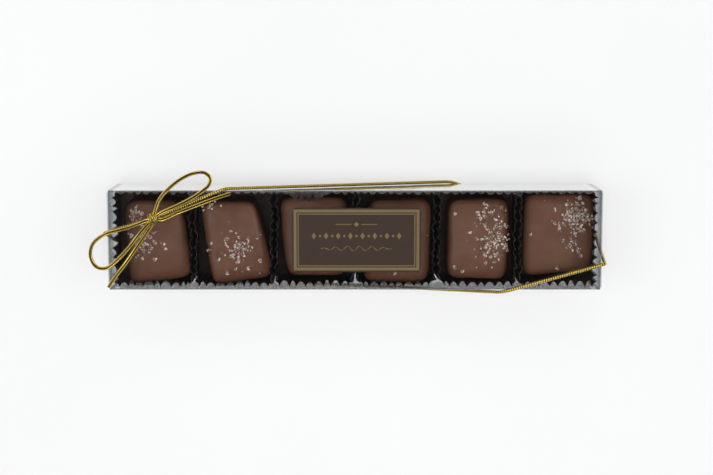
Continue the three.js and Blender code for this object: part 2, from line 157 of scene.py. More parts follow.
# Powers of the superellipses of a caramel's plan and of its side profile
CARAMEL_SQUARENESS = 7.0
CARAMEL_SHOULDER = 8.0

# Where the cups meet along the box, and how far cups and then caramels reach across it
CUP_EDGES_X = (-96.5, -64.3, -32.1, 0.1, 32.4, 64.6, 96.5)
CUP_LIMIT_Y = HALF_WIDTH - 0.4
PRESSED_Y = CUP_LIMIT_Y - 1.35

# A cup's paper, the rows of its wall and floor, the columns of a flute and its depth at the foot
PAPER = 0.08
WALL_ROWS, FLOOR_ROWS = 26, 7
FLUTE_COLUMNS = 10
FOOT_FLUTE = 0.35

# Corners that are crushed open, as x, y and depth, and the cup whose back rim is folded in at an x
CRUSHED_CORNERS = ((32.4, -19.4, 2.1), (0.1, -19.4, 1.3))
FOLDED_CUP, FOLD_X = 3, -19.0

# How far the box's sleeve stops short of each end, how much its panels bow, how far the painted
# shade of a dark line reaches from a fold and from a cut edge, and the haze of the front wall, an
# end wall and a side flap
SLEEVE_SHORT, PANEL_BOW = 0.7, 0.1
FOLD_SHADE_REACH, EDGE_SHADE_REACH = 0.5, 0.35
FRONT_HAZE, END_HAZE, FLAP_HAZE = 0.5, 0.13, 0.07

# Signs of x and y in the four quarters of a plan, in turn
QUARTERS = ((1, 1), (-1, 1), (-1, -1), (1, -1))

# The wavy line on the label runs this far to both sides of its middle
WAVE_REACH = 14.0

# Each light's name, place in metres, turn about x and y in degrees, side in metres and watts
LIGHTS = (
    ("left_light", (-0.95, 0.05, 1.3), (0, -36), 0.7, 3.2),
    ("right_light", (0.95, 0.05, 1.3), (0, 36), 0.7, 3.2),
    ("front_light", (0.0, -0.95, 1.2), (38, 0), 0.25, 0.8),
    ("back_light", (0.0, 1.1, 1.2), (-43, 0), 0.25, 1.0),
    ("top_light", (0.0, 0.0, 1.6), (0, 0), 0.7, 13.2),
)
FLOOR_REACH = 3.0


# Values that a user would change

def millimetres(name, description, default, low, high):
    """Length property, from values in millimetres."""
    return FloatProperty(
        name=name, description=description, default=default * MM, min=low * MM, max=high * MM,
        unit="LENGTH", precision=5)


def linear_colour(name, description, default):
    """Colour property. The default is linear red, green and blue."""
    return FloatVectorProperty(
        name=name, description=description, default=default, subtype="COLOR", size=3, min=0, max=1)


class PackSizes(bpy.types.PropertyGroup):
    """Sizes of the pack's pieces."""

    film: millimetres("Film", "Thickness of the clear film", 0.3, 0.1, 0.4)
    fold: millimetres("Fold", "Radius of the box's folded edges", 0.7, 0.3, 2)
    tongue: millimetres("Tongue", "How far an end wall's tongue goes in under the lid", 12, 4, 20)
    side_flap: millimetres("Side flap", "How far a side flap folds in behind an end wall", 13.5, 4, 18)
    rib_pitch: millimetres("Rib pitch", "Distance between the stretched cord's ribs", 0.92, 0.4, 2)
    flute_depth: millimetres("Flute depth", "Depth of a cup's flutes at its rim", 2.5, 0.5, 3)
    flutes: IntProperty(
        name="Flutes", description="How many flutes a cup has", default=40, min=16, max=60)
    crystal: millimetres("Salt", "Size of a large salt crystal", 2.1, 0.4, 2.5)


class PackColours(bpy.types.PropertyGroup):
    """Colours of the pack's finishes."""

    chocolate: linear_colour("Chocolate", "Milk chocolate coating", (0.126, 0.050, 0.027))
    chocolate_pale: linear_colour(
        "Pale chocolate", "Where the coating is thin or bloomed", (0.172, 0.078, 0.046))
    paper: linear_colour("Cup paper", "Dark glassine of the cups", (0.026, 0.015, 0.0135))
    # Paler cut rim of the cups, also used as painted highlight on the rim and the pleat ridges
    paper_edge_and_highlight: linear_colour("Paper edge", "Cut rim of the cups", (0.095, 0.080, 0.075))
    gold: linear_colour("Gold thread", "Metal thread of the cord", (0.97, 0.71, 0.16))
    # Painted shade: the colour that darkens the cord's grooves
    gold_painted_shade: linear_colour("Gold shade", "Grooves between the cord's ribs", (0.045, 0.026, 0.002))
    label: linear_colour("Label", "Printed field of the label", (0.041, 0.026, 0.019))
    foil: linear_colour("Foil", "Gold lines of the label", (0.178, 0.128, 0.057))


# Surfaces as plain arrays

def grid(points, wrap_rows=False, wrap_cols=False, uv=None, **values):
    """Surface over a rows by cols grid of points.

    Each cell of the grid is one quad, and a wrapped direction joins its last line to its first.
    uv holds one line more than the points in a wrapped direction, so that its seam stays whole.
    """
    rows, cols = points.shape[:2]
    row, col = np.meshgrid(
        np.arange(rows if wrap_rows else rows - 1),
        np.arange(cols if wrap_cols else cols - 1), indexing="ij")
    next_row, next_col = (row + 1) % rows, (col + 1) % cols
    quads = np.stack([
        row * cols + col, row * cols + next_col, next_row * cols + next_col, next_row * cols + col,
    ], -1).reshape(-1, 4)
    if uv is None:
        across, along = np.meshgrid(np.linspace(0, 1, cols + 1), np.linspace(0, 1, rows + 1))
        uv = np.stack([across, along], -1)
    corners = np.stack([uv[row, col], uv[row, col + 1], uv[row + 1, col + 1], uv[row + 1, col]], -2)
    return {
        "points": points.reshape(-1, 3), "quads": quads, "uv": corners.reshape(-1, 2),
        "values": {name: np.broadcast_to(v, (rows, cols)).reshape(-1) for name, v in values.items()},
    }


def build(name, surfaces, material, replaces=(), *, sharp):
    """One object from surfaces in millimetres: seams and poles welded, faces turned outwards.

    Edges that bend by more degrees than sharp are shaded as edges.
    """
    points = np.concatenate([s["points"] for s in surfaces]) * MM
    starts = np.cumsum([0] + [len(s["points"]) for s in surfaces[:-1]])
    quads = np.concatenate([s["quads"] + start for s, start in zip(surfaces, starts)])
    mesh = bpy.data.meshes.new(name)
    mesh.from_pydata(points.tolist(), [], quads.tolist())
    layer = mesh.uv_layers.new(name="Surface")
    layer.data.foreach_set("uv", np.concatenate([s["uv"] for s in surfaces]).ravel().astype(np.float32))
    for key in surfaces[0]["values"]:
        attribute = mesh.attributes.new(key, "FLOAT", "POINT")
        attribute.data.foreach_set(
            "value", np.concatenate([s["values"][key] for s in surfaces]).astype(np.float32))
    work = bmesh.new()
    work.from_mesh(mesh)
    bmesh.ops.remove_doubles(work, verts=work.verts, dist=1e-7)
    bmesh.ops.dissolve_degenerate(work, dist=1e-8, edges=work.edges)
    if work.calc_volume(signed=True) < 0:
        bmesh.ops.reverse_faces(work, faces=work.faces)
    work.to_mesh(mesh)
    work.free()
    mesh.polygons.foreach_set("use_smooth", np.ones(len(mesh.polygons), bool))
    if sharp < 180:
        mesh.set_sharp_from_angle(angle=math.radians(sharp))
    mesh.materials.append(material)
    piece = bpy.data.objects.new(name, mesh)
    bpy.context.scene.collection.objects.link(piece)
    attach(piece, "root")
    if replaces:
        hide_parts(*replaces)
    return piece


def unit(vectors):
    """Each vector divided by its length."""
    return vectors / np.maximum(np.linalg.norm(vectors, axis=-1, keepdims=True), 1e-12)


def slopes(points, axis, wrapped):
    """Central difference along one direction of a grid."""
    if wrapped:
        return (np.roll(points, -1, axis) - np.roll(points, 1, axis)) / 2
    return np.gradient(points, axis=axis)


def full_turn(count):
    """Angles once round, in even steps."""
    return np.linspace(0, 2 * math.pi, count, endpoint=False)


def grid_normals(points, wrapped):
    """Unit normals of a grid, as the cross product of its two slopes."""
    return unit(np.cross(slopes(points, 1, wrapped), slopes(points, 0, False)))


def place_grid(x, y, z):
    """Grid of points from three parts that broadcast against each other."""
    return np.stack(np.broadcast_arrays(x, y, z), -1)


def thin_sheet(middle, thickness, wrapped=False, **values):
    """Closed sheet round a middle surface.

    Both skins lie half the thickness along the surface's normal. A sheet that isn't wrapped is a
    flat tube closed along its first and last row.
    """
    values = {key: np.broadcast_to(value, middle.shape[:2]) for key, value in values.items()}
    normal = grid_normals(middle, wrapped)
    upper, lower = middle + normal * thickness / 2, middle - normal * thickness / 2
    if wrapped:
        doubled = {key: np.concatenate([value, value[::-1]]) for key, value in values.items()}
        return grid(np.concatenate([upper, lower[::-1]]), wrap_rows=True, wrap_cols=True, **doubled)
    around = np.concatenate([upper, lower[:, ::-1]], axis=1)
    flat = np.concatenate([middle, middle[:, ::-1]], axis=1)
    rows = np.concatenate([flat[:1], around, flat[-1:]])
    spread = {}
    for key, value in values.items():
        both = np.concatenate([value, value[:, ::-1]], axis=1)
        spread[key] = np.concatenate([both[:1], both, both[-1:]])
    return grid(rows, wrap_cols=True, **spread)


def fold_path(corners, radius, steps):
    """Path through corners that are rounded.

    Each inner corner becomes an arc of the given radius, as a quadratic curve between the two
    points that lie that far from the corner.
    """
    corners = np.array(corners, float)
    path = [corners[:1]]
    for before, corner, after in zip(corners[:-2], corners[1:-1], corners[2:]):
        start = corner + unit(before - corner) * radius
        end = corner + unit(after - corner) * radius
        t = np.linspace(0, 1, steps)[:, None]
        path.append((1 - t) ** 2 * start + 2 * t * (1 - t) * corner + t ** 2 * end)
    path.append(corners[-1:])
    return np.concatenate(path)


def run_length(path, power=1.0):
    """Sum of the steps up to each point of a path, each step's length raised to a power."""
    return np.concatenate([[0], np.cumsum(np.linalg.norm(np.diff(path, axis=0), axis=1) ** power)])


def even_steps(path, step, closed=False):
    """The same path with points an even step apart, by straight interpolation along its length."""
    if closed:
        path = np.concatenate([path, path[:1]])
    length = run_length(path)
    count = max(int(round(length[-1] / step)), 2)
    at = np.linspace(0, length[-1], count + 1)
    points = np.stack([np.interp(at, length, path[:, k]) for k in range(path.shape[1])], -1)
    return points[:-1] if closed else points


def smooth_route(controls):
    """Centripetal Catmull-Rom curve through the control points, at even steps."""
    p = np.array(controls, float)
    p = np.concatenate([[2 * p[0] - p[1]], p, [2 * p[-1] - p[-2]]])
    knots = run_length(p, 0.5)
    pieces = []
    for i in range(1, len(p) - 2):
        t0, t1, t2, t3 = knots[i - 1:i + 3]
        t = np.linspace(t1, t2, 60)[:, None]
        a1 = ((t1 - t) * p[i - 1] + (t - t0) * p[i]) / (t1 - t0)
        a2 = ((t2 - t) * p[i] + (t - t1) * p[i + 1]) / (t2 - t1)
        a3 = ((t3 - t) * p[i + 1] + (t - t2) * p[i + 2]) / (t3 - t2)
        b1 = ((t2 - t) * a1 + (t - t0) * a2) / (t2 - t0)
        b2 = ((t3 - t) * a2 + (t - t1) * a3) / (t3 - t1)
        pieces.append((((t2 - t) * b1 + (t - t1) * b2) / (t2 - t1))[:-1])
    pieces.append(p[-2:-1])
    return even_steps(np.concatenate(pieces), STRAND_STEP)


def tube(middle, outward, radius, sides, closed=False, flatness=1.0):
    """Skin round a path.

    At each station a ring lies across the path: middle + radius * (outward * cos * flatness +
    sideways * sin). radius is a function of length along the path and angle. An open tube's ends
    are blunt, with a small rounded edge. The UV map runs along it in millimetres.
    """
    ahead = unit(slopes(middle, 0, closed))
    outward = unit(outward - ahead * np.sum(outward * ahead, 1, keepdims=True))
    sideways = np.cross(ahead, outward)
    step = np.linalg.norm(np.diff(middle, axis=0), axis=1).mean()
    along = np.arange(len(middle)) * step
    angle = full_turn(sides)
    reach = radius(along[:, None], angle[None])
    ring = outward[:, None] * np.cos(angle)[None, :, None] * flatness
    ring = ring + sideways[:, None] * np.sin(angle)[None, :, None]
    points = middle[:, None] + reach[..., None] * ring
    # How far a point lies below the widest reach; the gold finish paints shade from it.
    groove = 1 - reach / reach.max()
    if not closed:
        # Rings of a blunt end: their size and how far out they lie, as shares of the radius
        rings = ((0.86, 0.14), (0.6, 0.2), (0.0, 0.2))
        caps = []
        for end, way in ((0, -1), (-1, 1)):
            size = reach[end].mean()
            rows = [middle[end] + way * ahead[end] * out * size + (points[end] - middle[end]) * share
                    for share, out in rings]
            caps.append(np.array(rows[::way]))
        points = np.concatenate([caps[0], points, caps[1]])
        groove = np.pad(groove, ((len(rings), len(rings)), (0, 0)), mode="edge")
        along = np.pad(along, len(rings), mode="edge")
    rows = len(points) + 1
    uv = np.zeros((rows, sides + 1, 2))
    uv[..., 0] = np.append(along, along[-1] + step)[:, None]
    uv[..., 1] = np.linspace(0, 1, sides + 1)[None]
    return grid(points, wrap_rows=closed, wrap_cols=True, uv=uv, groove=groove)


def plan_place(corners, share):
    """Places in plan for shares of -1 to 1 in x and y.

    Along x the two back corners and the two front corners are blended, then both along y.
    """
    back_left, back_right, front_right, front_left = np.array(corners, float)
    across, deep = (share[..., :1] + 1) / 2, (share[..., 1:] + 1) / 2
    front = front_left + (front_right - front_left) * across
    return front + (back_left + (back_right - back_left) * across - front) * deep


def plan_share(corners, place):
    """Shares that plan_place turns into these places, by five corrections with its mean slopes."""
    back_left, back_right, front_right, front_left = np.array(corners, float)
    slope = np.stack([
        (back_right + front_right - back_left - front_left) / 4,
        (back_left + back_right - front_left - front_right) / 4], 1)
    back = np.linalg.inv(slope).T
    share = (place - np.mean(corners, 0)) @ back
    for _ in range(5):
        share = share + (place - plan_place(corners, share)) @ back
    return share


# Shader parts that several finishes share

def fill(socket, value):
    """Sets an input to a plain value, or links it to the output of another node."""
    if isinstance(value, bpy.types.NodeSocket):
        socket.id_data.links.new(value, socket)
    elif socket.type == "RGBA":
        socket.default_value = (*value, 1)
    else:
        socket.default_value = value


def put(node, **values):
    """Fills a node's inputs by name, with underscores for the spaces. Returns the node."""
    for name, value in values.items():
        fill(node.inputs[name.replace("_", " ")], value)
    return node


def new_node(tree, kind, **values):
    """New shader node of a kind, with its inputs filled."""
    return put(tree.nodes.new("ShaderNode" + kind), **values)


def in_order(tree, kind, *values):
    """New shader node whose inputs are filled in their order."""
    node = new_node(tree, kind)
    for socket, value in zip(node.inputs, values):
        fill(socket, value)
    return node


def math_node(tree, operation, *values):
    """Math node on plain numbers or the outputs of other nodes."""
    node = in_order(tree, "Math", *values)
    node.operation = operation
    return node.outputs[0]


def noise_node(tree, vector, scale, detail=3.0, roughness=0.5):
    """Noise texture on the given coordinates."""
    return new_node(
        tree, "TexNoise", Vector=vector, Scale=scale, Detail=detail, Roughness=roughness).outputs["Fac"]


def map_range(tree, value, low, high, to_low=0.0, to_high=1.0):
    """Map Range node from low..high to to_low..to_high, clamped."""
    return new_node(
        tree, "MapRange", Value=value, From_Min=low, From_Max=high, To_Min=to_low,
        To_Max=to_high).outputs["Result"]


def mix_colour(tree, share, a, b):
    """Colour between a and b, which are plain colours or the outputs of other nodes."""
    node = new_node(tree, "Mix")
    node.data_type = "RGBA"
    return put(node, Factor=share, A=a, B=b).outputs["Result"]


def mix_shader(tree, share, a, b):
    """Shader between a and b."""
    return in_order(tree, "MixShader", share, a, b).outputs[0]


def bump(tree, height, distance, strength):
    """Normal over a height, with its depth in metres."""
    return new_node(tree, "Bump", Height=height, Distance=distance, Strength=strength).outputs["Normal"]


def place_output(tree, kind="Object"):
    """Output of Texture Coordinate that gives the place on the piece."""
    return new_node(tree, "TexCoord").outputs[kind]


def value_attribute(tree, name):
    """A value that the mesh carries at each point."""
    node = new_node(tree, "Attribute")
    node.attribute_name = name
    return node.outputs["Fac"]


def new_group(name, place, numbers, masks):
    """Shader group with one vector input, number inputs with their defaults, and mask outputs."""
    group = bpy.data.node_groups.new(name, "ShaderNodeTree")
    group.interface.new_socket(name=place, in_out="INPUT", socket_type="NodeSocketVector")
    for number, value in numbers.items():
        group.interface.new_socket(
            name=number, in_out="INPUT", socket_type="NodeSocketFloat").default_value = value
    for mask in masks:
        group.interface.new_socket(name=mask, in_out="OUTPUT", socket_type="NodeSocketFloat")
    return group, group.nodes.new("NodeGroupInput").outputs, group.nodes.new("NodeGroupOutput")


def mottle_group():
    """Soft patches and fine grain: two noises on the same place, in features per metre."""
    name = "Patches and grain"
    if name in bpy.data.node_groups:
        return bpy.data.node_groups[name]
    group, given, end = new_group(
        name, "Place", {"Patches": 120.0, "Grain": 2200.0}, ("Patch mask", "Grain mask"))
    patches = noise_node(group, given["Place"], given["Patches"], 3.0, 0.55)
    grain = noise_node(group, given["Place"], given["Grain"], 4.0, 0.6)
    put(end, Patch_mask=map_range(group, patches, 0.35, 0.65),
        Grain_mask=map_range(group, grain, 0.3, 0.7))
    return group


def thread_group():
    """Fine wound thread: slanted stripes across the cord's own UV map, a few to the millimetre."""
    name = "Wound thread"
    if name in bpy.data.node_groups:
        return bpy.data.node_groups[name]
    group, given, end = new_group(name, "Map", {"Threads": 4.0, "Slant": 2.0}, ("Thread mask",))
    place = new_node(group, "SeparateXYZ", Vector=given["Map"]).outputs
    along = math_node(group, "MULTIPLY", place["X"], given["Threads"])
    around = math_node(group, "MULTIPLY", place["Y"], given["Slant"])
    phase = math_node(group, "ADD", along, around)
    wave = math_node(group, "SINE", math_node(group, "MULTIPLY", phase, 2 * math.pi))
    put(end, Thread_mask=map_range(group, wave, -1, 1))
    return group


def use_group(tree, group, **values):
    """Outputs of a group node whose inputs are filled."""
    node = new_node(tree, "Group")
    node.node_tree = group
    return put(node, **values).outputs


def mottle(tree, patches, grain):
    """Patch mask and grain mask over a piece, at so many features per metre."""
    masks = use_group(tree, mottle_group(), Place=place_output(tree), Patches=patches, Grain=grain)
    return masks["Patch mask"], masks["Grain mask"]


def new_material(name):
    """Material with an empty Principled shader. Returns the material, its tree and the shader."""
    material = bpy.data.materials.new(name)
    material.use_nodes = True
    return material, material.node_tree, material.node_tree.nodes["Principled BSDF"]


# Finishes

def paler(colour, factor):
    """The colour times a factor, with white as its limit."""
    return tuple(min(factor * c, 1) for c in colour)


def chocolate_finish(colours):
    """Milk chocolate: soft patches of a paler tone, with a faint waxy sheen."""
    material, tree, shader = new_material("Milk chocolate")
    patch, grain = mottle(tree, 140.0, 2600.0)
    share = map_range(tree, patch, 0, 1, 0.1, 0.75)
    put(shader, Base_Color=mix_colour(tree, share, colours.chocolate, colours.chocolate_pale),
        Roughness=map_range(tree, grain, 0, 1, 0.32, 0.42), IOR=1.5,
        Normal=bump(tree, grain, 0.00003, 0.5))
    return material


def salt_finish():
    """Coarse salt: cloudy crystals that let the chocolate show through, whiter where cloudy."""
    material, tree, shader = new_material("Coarse salt")
    cloud = noise_node(tree, place_output(tree), 1300.0, 2.0)
    share = map_range(tree, cloud, 0.42, 0.62)
    put(shader, Base_Color=mix_colour(tree, share, (0.86, 0.57, 0.45), (1.0, 0.86, 0.77)),
        Roughness=map_range(tree, cloud, 0.3, 0.7, 0.04, 0.28), IOR=1.54, Coat_Weight=0.3,
        Transmission_Weight=map_range(tree, cloud, 0.46, 0.6, 0.82, 0.25))
    return material


def paper_finish(colours):
    """Dark glassine: smooth with a faint gloss, greyer along the cut rim and on pleat ridges, partly
    as painted highlight, and paler near the box's ends as painted light.
    """
    material, tree, shader = new_material("Dark glassine")
    patch, grain = mottle(tree, 260.0, 4000.0)
    # The rim value: paler cut rim, with painted highlight where the rim and pleat ridges catch light
    rim = math_node(
        tree, "MULTIPLY", value_attribute(tree, "rim"), map_range(tree, patch, 0, 1, 0.35, 1))
    edge = math_node(tree, "MAXIMUM", rim, math_node(tree, "MULTIPLY", grain, 0.15))
    # Painted light: paper paler near the box's ends, for light coming in through the end walls.
    paper = mix_colour(tree, value_attribute(tree, "lit"), colours.paper, paler(colours.paper, 2.6))
    put(shader, Base_Color=mix_colour(tree, edge, paper, colours.paper_edge_and_highlight),
        Roughness=map_range(tree, patch, 0, 1, 0.42, 0.6), Normal=bump(tree, patch, 0.0001, 0.4))
    return material


def gold_finish(colours):
    """Metal thread round elastic: bright on the ribs, with painted shade dark in the grooves, and
    fine windings.
    """
    material, tree, shader = new_material("Gold cord")
    thread = use_group(
        tree, thread_group(), Map=place_output(tree, "UV"), Threads=3.4, Slant=2.0)["Thread mask"]
    # Painted shade: the deeper a point lies in a groove, the more it takes the shade colour; the thread
    # mask adds darker gaps between windings.
    deep = map_range(tree, value_attribute(tree, "groove"), 0.08, 0.18)
    shade = math_node(tree, "MAXIMUM", deep, map_range(tree, thread, 0, 0.6, 0.12, 0))
    put(shader, Base_Color=mix_colour(tree, shade, colours.gold, colours.gold_painted_shade),
        Roughness=map_range(tree, shade, 0, 1, 0.1, 0.36), Metallic=1.0, Coat_Weight=0.15,
        Coat_Roughness=0.06, Normal=bump(tree, thread, 0.00001, 0.25))
    return material


def label_finish(colours):
    """Printed paper label: dark field, hardly glossy, with paper grain."""
    material, tree, shader = new_material("Label print")
    patch, grain = mottle(tree, 300.0, 6000.0)
    share = map_range(tree, grain, 0, 1, 0, 0.6)
    put(shader, Base_Color=mix_colour(tree, share, colours.label, paler(colours.label, 1.25)),
        Roughness=map_range(tree, patch, 0, 1, 0.5, 0.62), Specular_IOR_Level=0.2,
        Normal=bump(tree, grain, 0.00001, 0.3))
    return material


def foil_finish(colours):
    """Gold print: partly metallic, a little uneven in tone."""
    material, tree, shader = new_material("Label gold")
    patch, grain = mottle(tree, 400.0, 5000.0)
    share = map_range(tree, grain, 0, 1, 0, 0.7)
    put(shader, Base_Color=mix_colour(tree, share, colours.foil, paler(colours.foil, 1.3)),
        Roughness=map_range(tree, patch, 0, 1, 0.42, 0.55), Metallic=0.35)
    return material


def film_finish():
    """Clear film: it mirrors more the flatter it is seen, with painted shade as dark lines along
    its folds and cut edges.

    The mesh's haze greys it where it is seen edge on, and its dull parts mirror less.
    """
    material, tree, frost_and_fold_shade = new_material("Clear film")
    patch, grain = mottle(tree, 45.0, 900.0)
    scuffs, _ = mottle(tree, 420.0, 3000.0)
    hazy = value_attribute(tree, "haze")
    share = map_range(tree, hazy, 0, 0.3)
    # The dark colour is painted shade for the lines along folds and cut edges; the pale one is the haze.
    put(frost_and_fold_shade, Base_Color=mix_colour(tree, share, (0.09, 0.09, 0.10), (0.66, 0.66, 0.67)),
        Roughness=map_range(tree, grain, 0, 1, 0.3, 0.45))
    clear = new_node(tree, "BsdfTransparent", Color=(0.965, 0.972, 0.972)).outputs[0]
    mirror = new_node(
        tree, "BsdfGlossy", Color=(1, 1, 1), Roughness=0.08,
        Normal=bump(tree, patch, 0.0004, 0.25)).outputs[0]
    facing = new_node(tree, "LayerWeight", Blend=0.5).outputs["Facing"]
    grazing = math_node(tree, "POWER", facing, 3.7)
    kept = map_range(tree, value_attribute(tree, "dull"), 0, 1, 1, 0.06)
    mirrored = math_node(tree, "MULTIPLY", map_range(tree, grazing, 0, 0.75, 0.035, 1), kept)
    pane = mix_shader(tree, mirrored, clear, mirror)
    # Painted shade: folds and cut edges take the dark colour.
    crease = math_node(tree, "MULTIPLY", value_attribute(tree, "crease"), 0.6)
    patchy = math_node(tree, "MULTIPLY", hazy, map_range(tree, scuffs, 0, 1, 0.5, 0.95))
    haze = math_node(tree, "MULTIPLY", patchy, math_node(tree, "POWER", facing, 2.0))
    frost_and_shade_share = math_node(tree, "MAXIMUM", crease, haze)
    put(tree.nodes["Material Output"], Surface=mix_shader(tree, frost_and_shade_share, pane, frost_and_fold_shade.outputs[0]))
    return material


# The cord

def cord_stations():
    """The closed loop's middle line and the outward direction at each point.

    On each face the loop is straight, but for the lid, where the bow pulls it aside at the knot.
    Over an edge it is a screw line of the cord's offset as radius, whose shift along the edge
    keeps the slope at which the cord crosses.
    """
    level = {"top": LID_Z, "bottom": BASE_Z}
    edges = []
    for first, second, along in CROSSINGS:
        at = np.zeros(3)
        for face in (first, second):
            at += np.array(FACES[face], float) * (HALF_LENGTH, HALF_WIDTH, 0)
            at[2] = level.get(face, at[2])
        at[1 if {"left", "right"} & {first, second} else 0] = along
        at = np.array(KNOT) if first == second else at
        edges.append((np.array(FACES[first], float), np.array(FACES[second], float), at))
    middle, outward = [], []
    for i, (first, second, at) in enumerate(edges):
        if (first == second).all():
            middle.append([at + first * CORD_OFFSET])
            outward.append([first])
            continue
        line = np.cross(first, second)
        slope_in = unit(at - edges[i - 1][2]) @ line
        slope_out = unit(edges[(i + 1) % len(edges)][2] - at) @ line
        share = np.linspace(0, 1, 13)[:, None]
        turn = share * math.pi / 2
        slope = slope_in + (slope_out - slope_in) * share
        out = first * np.cos(turn) + second * np.sin(turn)
        shift = (turn - math.pi / 4) * CORD_OFFSET * slope / np.sqrt(1 - slope ** 2)
        middle.append(at + out * CORD_OFFSET + line * shift)
        outward.append(out)
    both = np.concatenate([np.concatenate(middle), np.concatenate(outward)], axis=1)
    both = even_steps(both, BAND_STEP, closed=True)
    return both[:, :3], unit(both[:, 3:])


def ribbed(radius, pitch, depth, furrow=0.0):
    """Radius of a wound cord: one screw wave, which leaves slanted ribs, and a weaker crossing one.

    Three furrows, one of them on the outward side, run along the cord and sway a little.
    """
    def reach(along, angle):
        turn = 2 * math.pi * along / pitch
        ribs = 0.8 * np.cos(turn + angle) + 0.2 * np.cos(turn - 2 * angle) - 1
        lines = np.cos(3 * angle + 0.8 * np.sin(along / 6)) + 1
        return radius * (1 + depth * ribs - furrow * lines)
    return reach


class PACK_OT_cord(bpy.types.Operator):
    """Adds the elastic cord's closed loop over two corners of the box"""

    bl_idname = "caramel_pack.cord"
    bl_label = "Elastic cord"

    def execute(self, context):
        sizes = context.scene.pack_sizes
        middle, outward = cord_stations()
        reach = ribbed(CORD / 2, sizes.rib_pitch / MM, depth=0.12)
        surface = tube(middle, outward, reach, sides=14, closed=True, flatness=0.92)
        build("gold_band", [surface], finish("Gold cord"), ["elastic_band"], sharp=180)
        return {"FINISHED"}


class PACK_OT_bow(bpy.types.Operator):
    """Adds the bow's loops and tails and the knot that holds them"""

    bl_idname = "caramel_pack.bow"
    bl_label = "Bow"

    def execute(self, context):
        gold = finish("Gold cord")
        knot = np.array(KNOT) + (0, 0, CORD_OFFSET)
        along = unit(np.array((CROSSINGS[2][2], HALF_WIDTH, 0)) - (-HALF_LENGTH, CROSSINGS[0][2], 0))
        self.knot(knot, along, gold)
        for name, route in BOW.items():
            controls = [(x, y, LID_Z + height) for x, y, height in route]
            controls.insert(0, self.inside_knot(knot, controls[0]))
            if "loop" in name:
                controls.append(self.inside_knot(knot, controls[-1]))
            path = smooth_route(controls)
            up = np.broadcast_to((0.0, 0.0, 1.0), path.shape)
            reach = ribbed(CORD / 2, pitch=0.4, depth=0.005, furrow=0.1)
            surface = tube(path, up, reach, sides=18)
            strand = build(f"gold_{name}", [surface], gold, [name], sharp=180)
        return {"FINISHED"}

    def inside_knot(self, knot, start):
        """A point a little inside the knot, on the way from a strand's end to its upper middle."""
        core, start = knot + (0, 0, 1.4), np.array(start)
        return tuple(start + (core - start) * 0.45)

    def knot(self, middle, along, gold):
        """Wraps of cord round the band and the strands' ends.

        Each wrap is a tilted ellipse round the band's direction, of cord that is drawn thinner,
        and a small core fills their middle.
        """
        side = np.cross((0, 0, 1), along)
        drawn = ribbed(0.68, pitch=0.4, depth=0.01, furrow=0.09)
        turn = full_turn(72)[:, None]
        surfaces = []
        for offset, lean, wide, tall in (
                (-1.15, 0.30, 1.75, 1.55), (0.25, -0.45, 1.85, 1.65), (1.35, 0.35, 1.65, 1.45)):
            around = side * np.cos(turn) * wide + np.array((0, 0, 1.0)) * np.sin(turn) * tall
            ring = middle + (0, 0, 0.85) + along * (offset + lean * np.cos(turn + 0.6)) + around
            surfaces.append(tube(ring, unit(around), drawn, sides=15, closed=True))
        rise = np.linspace(-math.pi / 2, math.pi / 2, 14)[:, None, None]
        bearing = full_turn(24)[None, :, None]
        core = middle + (0, 0, 0.95) + (
            along * 2.1 * np.cos(rise) * np.cos(bearing) + side * 1.6 * np.cos(rise) * np.sin(bearing)
            + np.array((0, 0, 1.35)) * np.sin(rise))
        # The core's fixed groove value paints it darker, as shade in the knot's middle.
        surfaces.append(grid(core, wrap_cols=True, groove=0.15))
        build("gold_bow_knot", surfaces, gold, ["bow_knot"], sharp=180)


# The box

